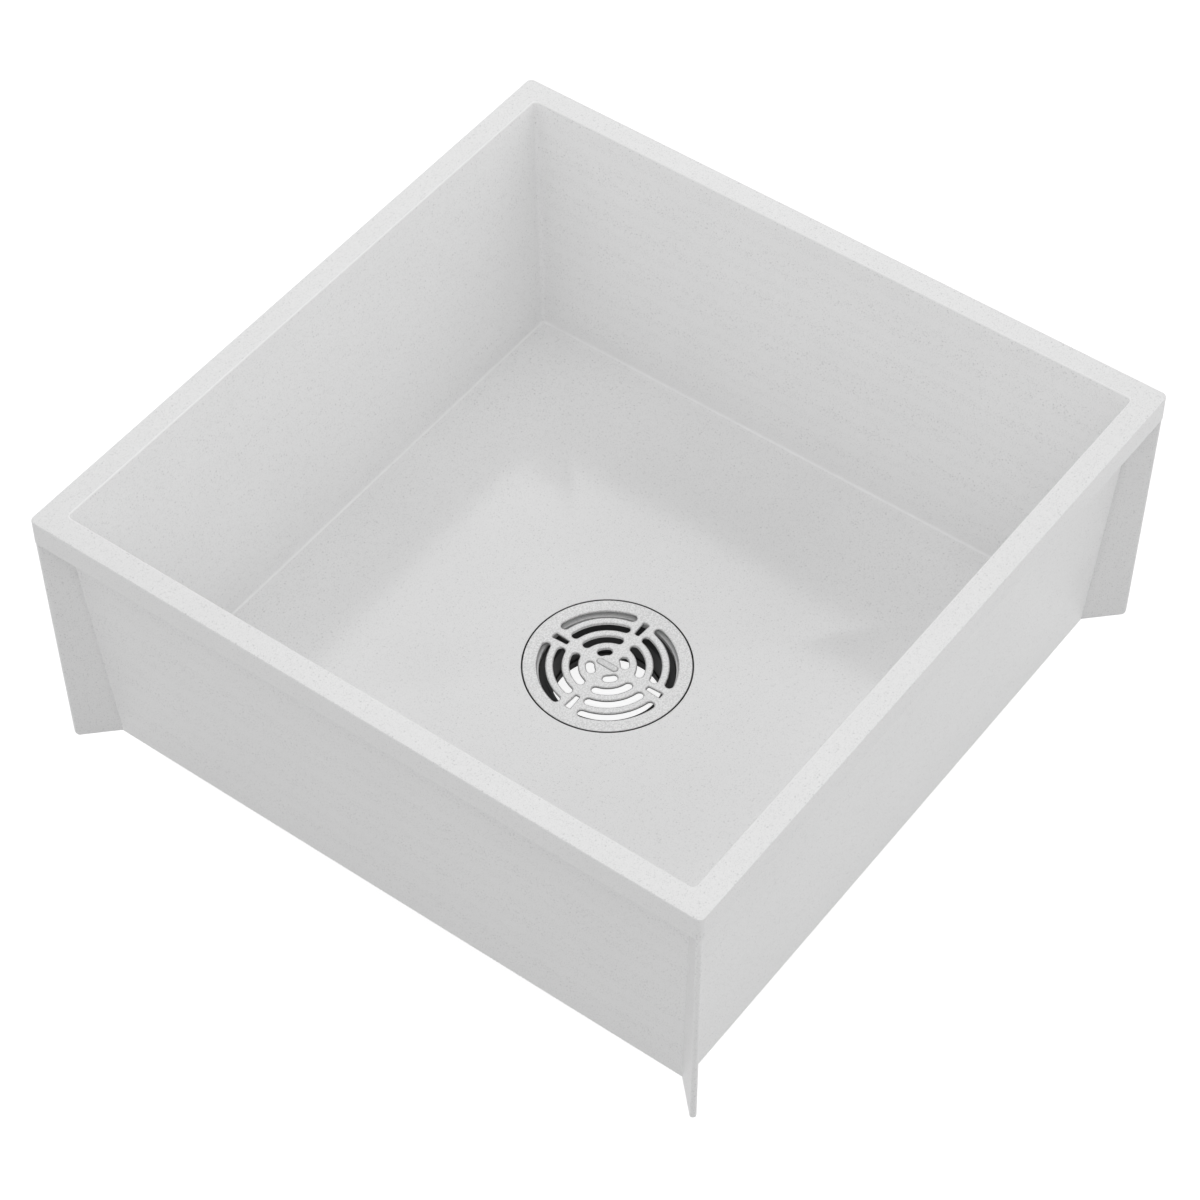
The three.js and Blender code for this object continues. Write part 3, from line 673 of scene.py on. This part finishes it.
FLOOR_FADE = (0.5, 2.5)  # over the floor's edge, where the floor's mask begins and ends to fade
FLOOR_MARGIN = 0.6  # out from the floor's edge
SEAM_HIGHLIGHT_FADE = (1.8, 1.0)  # in from the floor's edge, where the painted highlight line begins and is full
RIM_FLAT = 0.05  # under the rim's top, down to where its flat ends
LIP_HIGHLIGHT_MARGIN = 2.0  # out from the bowl's edge, bounding the painted highlight on the rim's inner round
SKIRT_SHADE_MARGINS = (0.3, 0.4)  # under the skirt's lower edge, and in from its face, bounding the skirt's painted shade
MIDDLE_SHADE_FADE = (120.0, 320.0)  # from the axis, where the floor's painted shade is full and where it ends
GAP_SHADE_FADE = (0.4, 0.05)  # under the floor, where the painted shade in the ring round the grate is full and where it ends
GAP_SHADE_MARGINS = (0.8, 0.6)  # in from the grate's side, and out from the recess's side, bounding the painted shade in that ring
PAD_RISE = (0.02, 0.08)  # over the grate's top, where the pad's mask begins and is full
PAD_FACE = (0.27, 0.33)  # over the grate's top, where the pad's edge goes over into its face
PAD_FACE_LEVEL = 0.4


def make_place_group():
    """Where a point lies on the basin or the grate, each from 0 to 1.

    Floor is the bowl's floor. A painted highlight lies on the line round it and on the rim's inner round.
    Painted shade lies on the floor towards the outlet, on the turned-down side and on the flat top, and darker
    in the ring between the grate and its recess. Pad is the grate's raised middle, strongest at its edge.
    Each mask is a product of steps of the height, the distance from the axis and the larger of the two plan
    distances.
    """
    group, given, out = new_group(
        "basin_places_and_painted_light", {}, ["Floor", "Edge Highlight", "Middle", "Skirt Shade", "Rim Shade", "Gap Shade", "Pad"]
    )

    def over(value, level):
        return math_node(group, "GREATER_THAN", value, level * MM)

    def under(value, level):
        return math_node(group, "LESS_THAN", value, level * MM)

    def step(value, low, high, to_low=0.0, to_high=1.0):
        return remap(group, value, low * MM, high * MM, to_low, to_high)

    x, y, z = add(group, "ShaderNodeSeparateXYZ", _0=given["Vector"]).outputs
    side = math_node(group, "MAXIMUM", math_node(group, "ABSOLUTE", x), math_node(group, "ABSOLUTE", y))
    radius = math_node(group, "SQRT", math_node(group, "MULTIPLY_ADD", x, x, times(group, y, y)))

    fade = step(z, FLOOR_EDGE_Z + FLOOR_FADE[0], FLOOR_EDGE_Z + FLOOR_FADE[1], 1.0, 0.0)
    floor = times(group, under(side, FLOOR_EDGE_HALF + FLOOR_MARGIN), fade)
    # Painted highlight: a paler line round the floor's edge and along the rim's inner round.
    seam_highlight = times(group, floor, step(side, FLOOR_EDGE_HALF - SEAM_HIGHLIGHT_FADE[0], FLOOR_EDGE_HALF - SEAM_HIGHLIGHT_FADE[1]))
    lip_highlight = times(group, over(z, RIM_Z - RIM_INNER_ROUND), under(z, RIM_Z - RIM_FLAT))
    lip_highlight = times(group, lip_highlight, under(side, BOWL_HALF + LIP_HIGHLIGHT_MARGIN))
    # Painted shade: the floor's open middle, which more light reaches than its corners, is painted greyer.
    middle = times(group, floor, step(radius, *MIDDLE_SHADE_FADE, 1.0, 0.0))
    # Painted shade: the skirt is painted a little greyer, to match the wall in shade under it.
    skirt = times(group, over(z, SKIRT_Z - SKIRT_SHADE_MARGINS[0]), over(side, BASIN_HALF - SKIRT_SHADE_MARGINS[1]))
    # Painted shade: the ring between the grate and its recess, and the grate's sunken side, painted dark.
    sunk_shade = step(z, FLOOR_LOW_Z - GAP_SHADE_FADE[0], FLOOR_LOW_Z - GAP_SHADE_FADE[1], 1.0, 0.0)
    gap_shade = times(group, sunk_shade, over(radius, GRATE_RADIUS - GAP_SHADE_MARGINS[0]))
    gap_shade = times(group, gap_shade, under(radius, RECESS_RADIUS + GAP_SHADE_MARGINS[1]))
    pad_face = step(z, GRATE_TOP_Z + PAD_FACE[0], GRATE_TOP_Z + PAD_FACE[1], 1.0, PAD_FACE_LEVEL)
    pad = times(group, step(z, GRATE_TOP_Z + PAD_RISE[0], GRATE_TOP_Z + PAD_RISE[1]), pad_face)

    feed(group, out["Floor"], floor)
    feed(group, out["Edge Highlight"], math_node(group, "MAXIMUM", seam_highlight, lip_highlight))
    feed(group, out["Middle"], middle)
    feed(group, out["Skirt Shade"], skirt)
    # Painted shade: the rim's flat top, which more light reaches than the bowl, is painted a little greyer.
    feed(group, out["Rim Shade"], over(z, RIM_Z - RIM_FLAT))
    feed(group, out["Gap Shade"], gap_shade)
    feed(group, out["Pad"], pad)
    return group


# ---- Materials ----

speckle_group = make_speckle_group()
surface_group = make_surface_group()
place_group = make_place_group()

TEXTURE_SPAN = (0.2, 0.8)  # what the fine texture's noise nearly fills

# A place, the share of its mask that counts, and the grey that the colour is mixed towards there. In the
# stone these paint shade on the floor's middle, the skirt, the rim's flat top and the ring round the grate,
# and a highlight on the floor's edge line and the rim's inner round. In the metal they darken the pad and
# paint shade on the grate's side in that ring.
STONE_PAINTED_LIGHT = [
    ("Middle", 0.33, 0.50),
    ("Skirt Shade", 0.08, 0.50),
    ("Rim Shade", 0.13, 0.50),
    ("Edge Highlight", 1.0, 0.99),
    ("Gap Shade", 1.0, 0.10),
]
METAL_TONES_AND_PAINTED_SHADE = [("Pad", 0.35, 0.12), ("Gap Shade", 1.0, 0.10)]


def new_material(name):
    """A material with a Principled shader on the output, that shader's inputs and object coordinates."""
    material = bpy.data.materials.new(name)
    material.use_nodes = True
    tree = material.node_tree
    tree.nodes.clear()
    out = tree.nodes.new("ShaderNodeOutputMaterial")
    shader = tree.nodes.new("ShaderNodeBsdfPrincipled")
    tree.links.new(shader.outputs["BSDF"], out.inputs["Surface"])
    place = tree.nodes.new("ShaderNodeTexCoord").outputs["Object"]
    return material, tree, shader.inputs, place


def placed(tree, group, **inputs):
    """A shared effect in a material's tree, as its outputs."""
    return add(tree, "ShaderNodeGroup", {"node_tree": group}, **inputs).outputs


def grey(level):
    """A grey as a colour."""
    return (level, level, level)


def mixed(tree, share, a, b):
    """A colour between a and b by a share, where either may be another node's output."""
    node = add(tree, "ShaderNodeMix", {"data_type": "RGBA"}, Factor=share)
    for index, value in ((6, a), (7, b)):
        feed(tree, node.inputs[index], value if isinstance(value, bpy.types.NodeSocket) else (*value, 1.0))
    return node.outputs[2]


def tones_and_painted_light(tree, colour, spot, tones):
    """A colour mixed towards a grey in each named place, by the place's mask times a share.

    This paints the shade and highlights on the stone and on the grate's side, and the pad's darker tone.
    """
    for label, share, level in tones:
        colour = mixed(tree, times(tree, spot[label], share), colour, grey(level))
    return colour


def cover(tree, shader, colour, roughness, height, depth):
    """Feeds a shader its colour, its roughness, and the normal of a height from 0 to 1 times a depth."""
    feed(tree, shader["Base Color"], colour)
    feed(tree, shader["Roughness"], roughness)
    bump = add(tree, "ShaderNodeBump", Height=height, Distance=depth, Strength=1.0)
    feed(tree, shader["Normal"], bump.outputs["Normal"])


def stone_material():
    """Satin moulded stone: near-white with fine grey specks and faint clouds under a smooth skin.

    The floor is glossier than the walls. Painted shade makes the floor's open middle and the rim's flat top,
    which more light reaches, and the skirt, beside the shaded wall under it, a little greyer. A painted
    highlight makes the floor's edge line and the rim's inner round paler, and painted shade makes the ring
    round the grate dark.
    """
    material, tree, shader, place = new_material("speckled_stone")
    specks = placed(tree, speckle_group, Vector=place, Fine_Size=820.0, Coarse_Size=340.0, Share=0.85)
    detail = placed(tree, surface_group, Vector=place, Wave_Size=26.0, Texture_Size=1600.0)
    spot = placed(tree, place_group, Vector=place)
    colour = mixed(tree, remap(tree, specks["Clouds"], 0.3, 0.7), grey(0.96), grey(0.98))
    colour = mixed(tree, remap(tree, specks["Grain"], 0.35, 0.7, 0.0, 0.7), colour, grey(0.86))
    colour = mixed(tree, times(tree, specks["Specks"], 0.45), colour, (0.45, 0.45, 0.455))
    colour = tones_and_painted_light(tree, colour, spot, STONE_PAINTED_LIGHT)
    rough = remap(tree, detail["Texture"], *TEXTURE_SPAN, 0.36, 0.42)
    rough = math_node(tree, "SUBTRACT", rough, times(tree, spot["Floor"], 0.25))
    height = math_node(tree, "MULTIPLY_ADD", detail["Texture"], 0.03, times(tree, detail["Waves"], 0.13))
    cover(tree, shader, colour, rough, height, 0.0003)
    return material


def cast_metal_material():
    """Satin cast metal: a fine sandy cast texture with soft variation in how it shines.

    The middle pad is a little darker, and most so at its edge. Painted shade darkens the grate's side where
    it sinks into the ring round it.
    """
    material, tree, shader, place = new_material("satin_cast_metal")
    detail = placed(tree, surface_group, Vector=place, Wave_Size=60.0, Texture_Size=800.0)
    colour = mixed(tree, remap(tree, detail["Texture"], 0.32, 0.68), grey(0.46), grey(0.64))
    colour = tones_and_painted_light(tree, colour, placed(tree, place_group, Vector=place), METAL_TONES_AND_PAINTED_SHADE)
    shader["Metallic"].default_value = 0.85
    rough = remap(tree, detail["Texture"], *TEXTURE_SPAN, 0.34, 0.46)
    cover(tree, shader, colour, rough, detail["Texture"], 0.00012)
    return material


def moulded_material(name, low, high, rough, texture_size, depth, scuffed=0.0, specular=0.5):
    """A moulded plastic or rubber: its colour drifts between two tones, with a fine moulded texture.

    Scuffs mix it towards a paler tone by the share scuffed.
    """
    material, tree, shader, place = new_material(name)
    detail = placed(tree, surface_group, Vector=place, Wave_Size=45.0, Texture_Size=texture_size)
    colour = mixed(tree, detail["Waves"], low, high)
    if scuffed:
        worn = tuple(min(1.0, c * 2.2 + 0.02) for c in high)
        colour = mixed(tree, times(tree, detail["Scuffs"], scuffed), colour, worn)
    shader["Specular IOR Level"].default_value = specular
    cover(tree, shader, colour, remap(tree, detail["Texture"], *TEXTURE_SPAN, *rough), detail["Texture"], depth)
    return material


def dress(piece, material, node, body):
    """Gives a piece its material and its body, and hides the frame's node that it stands for."""
    piece.data.materials.append(material)
    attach(piece, body)
    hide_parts(node)


stone = stone_material()
cast_metal = cast_metal_material()
black_plastic = moulded_material(
    "black_plastic",
    low=(0.032, 0.032, 0.033),
    high=(0.044, 0.044, 0.045),
    rough=(0.60, 0.74),
    texture_size=1500.0,
    depth=0.00005,
    scuffed=0.2,
    specular=0.25,
)
black_rubber = moulded_material(
    "black_rubber", low=grey(0.010), high=grey(0.020), rough=(0.68, 0.85), texture_size=2200.0, depth=0.00008
)
white_plastic = moulded_material(
    "white_plastic",
    low=(0.62, 0.62, 0.58),
    high=(0.72, 0.72, 0.68),
    rough=(0.42, 0.55),
    texture_size=1500.0,
    depth=0.00004,
    scuffed=0.2,
)

dress(make_basin(), stone, "basin", "basin")
dress(make_grate(), cast_metal, "grate", "grate")
fitting_finishes = {
    "drain_body": black_plastic,
    "flange_gasket": black_rubber,
    "friction_washer": white_plastic,
    "lock_nut": black_plastic,
    "pipe_nut": black_plastic,
    "pipe_seal": black_rubber,
}
for node, piece in make_fittings().items():
    dress(piece, fitting_finishes[node], node, "basin")


# ---- Stage, light and camera ----

WHITE = (1.0, 1.0, 1.0, 1.0)
STAGE_HALF = 20000.0
STAGE_DROP = 0.5  # under the outlet's end
STAGE_COLOUR = (0.40, 0.40, 0.40, 1.0)
STAGE_GLOW = 0.86
WORLD_LIGHT = 0.62

CAMERA_PLACE = (-1.47534, -1.09890, 2.27354)
CAMERA_LOOK = (0.52078, 0.39042, -0.75919)
CAMERA_ROLL = -0.2864  # degrees
CAMERA_SENSOR = 36.0
FOCAL_PX = 3612.13  # of a picture 1200 px wide
PICTURE_PX = 1200.0


def make_floor():
    """A plain pale floor at the outlet's lower end, which the camera and mirror-like rays see near white.

    What it gives off to those rays is added to the light that falls on it, so it keeps the shadow.
    """
    corners = [(x * STAGE_HALF, y * STAGE_HALF, -STAGE_DROP) for x, y in ((-1, -1), (1, -1), (1, 1), (-1, 1))]
    floor = make_object("floor", corners, [(0, 1, 2, 3)])
    material = bpy.data.materials.new("pale_floor")
    material.use_nodes = True
    tree = material.node_tree
    tree.nodes.clear()
    out = tree.nodes.new("ShaderNodeOutputMaterial")
    pale = add(tree, "ShaderNodeBsdfDiffuse", Color=STAGE_COLOUR)
    path = tree.nodes.new("ShaderNodeLightPath").outputs
    seen = math_node(tree, "MAXIMUM", path["Is Camera Ray"], path["Is Glossy Ray"])
    seen = math_node(tree, "MAXIMUM", seen, path["Is Transmission Ray"])
    white = add(tree, "ShaderNodeEmission", Color=WHITE, Strength=times(tree, seen, STAGE_GLOW))
    both = add(tree, "ShaderNodeAddShader", _0=pale.outputs[0], _1=white.outputs[0])
    tree.links.new(both.outputs[0], out.inputs["Surface"])
    floor.data.materials.append(material)


def make_world():
    """An even soft light from all round, which the camera sees as plain white."""
    world = bpy.data.worlds.new("studio")
    bpy.context.scene.world = world
    world.use_nodes = True
    tree = world.node_tree
    tree.nodes.clear()
    out = tree.nodes.new("ShaderNodeOutputWorld")
    path = tree.nodes.new("ShaderNodeLightPath").outputs
    soft = add(tree, "ShaderNodeBackground", Color=WHITE, Strength=WORLD_LIGHT).outputs[0]
    white = add(tree, "ShaderNodeBackground", Color=WHITE, Strength=1.0).outputs[0]
    mix = add(tree, "ShaderNodeMixShader", Fac=path["Is Camera Ray"], _1=soft, _2=white)
    tree.links.new(mix.outputs[0], out.inputs["Surface"])


def soft_box(name, position, size, power, target_height=0.15):
    """A square lamp that faces a point on the outlet's axis."""
    lamp = bpy.data.lights.new(name, "AREA")
    lamp.shape = "SQUARE"
    lamp.size = size
    lamp.energy = power
    holder = bpy.data.objects.new(name, lamp)
    bpy.context.scene.collection.objects.link(holder)
    holder.location = position
    target = Vector((0.0, 0.0, target_height))
    holder.rotation_euler = (target - Vector(position)).to_track_quat("-Z", "Y").to_euler()


def make_camera():
    """The camera as worked out from the photograph: its place, the way it looks, its roll and lens."""
    lens = bpy.data.cameras.new("camera")
    lens.sensor_width = CAMERA_SENSOR
    lens.lens = CAMERA_SENSOR * FOCAL_PX / PICTURE_PX
    lens.clip_end = 100.0
    holder = bpy.data.objects.new("camera", lens)
    bpy.context.scene.collection.objects.link(holder)
    look = Vector(CAMERA_LOOK).normalized()
    right = look.cross(Vector((0, 0, 1))).normalized()
    turn = Matrix((right, right.cross(look), -look)).transposed().to_4x4()
    roll = Matrix.Rotation(math.radians(CAMERA_ROLL), 4, "Z")
    holder.matrix_world = Matrix.Translation(CAMERA_PLACE) @ turn @ roll
    bpy.context.scene.camera = holder


make_floor()
make_world()
soft_box("right", (1.0, -2.35, 1.4), 2.0, 12.5)
soft_box("left", (-2.4, 0.6, 1.5), 2.0, 7.5)
soft_box("front", (-1.2, -0.9, 1.9), 1.0, 3.5)
soft_box("back", (1.38, 1.0, 2.15), 1.0, 5.9, target_height=0.05)
soft_box("low_back", (1.9, 1.5, 1.6), 1.8, 4.0)
make_camera()

scene = bpy.context.scene
scene.view_settings.view_transform = "Standard"
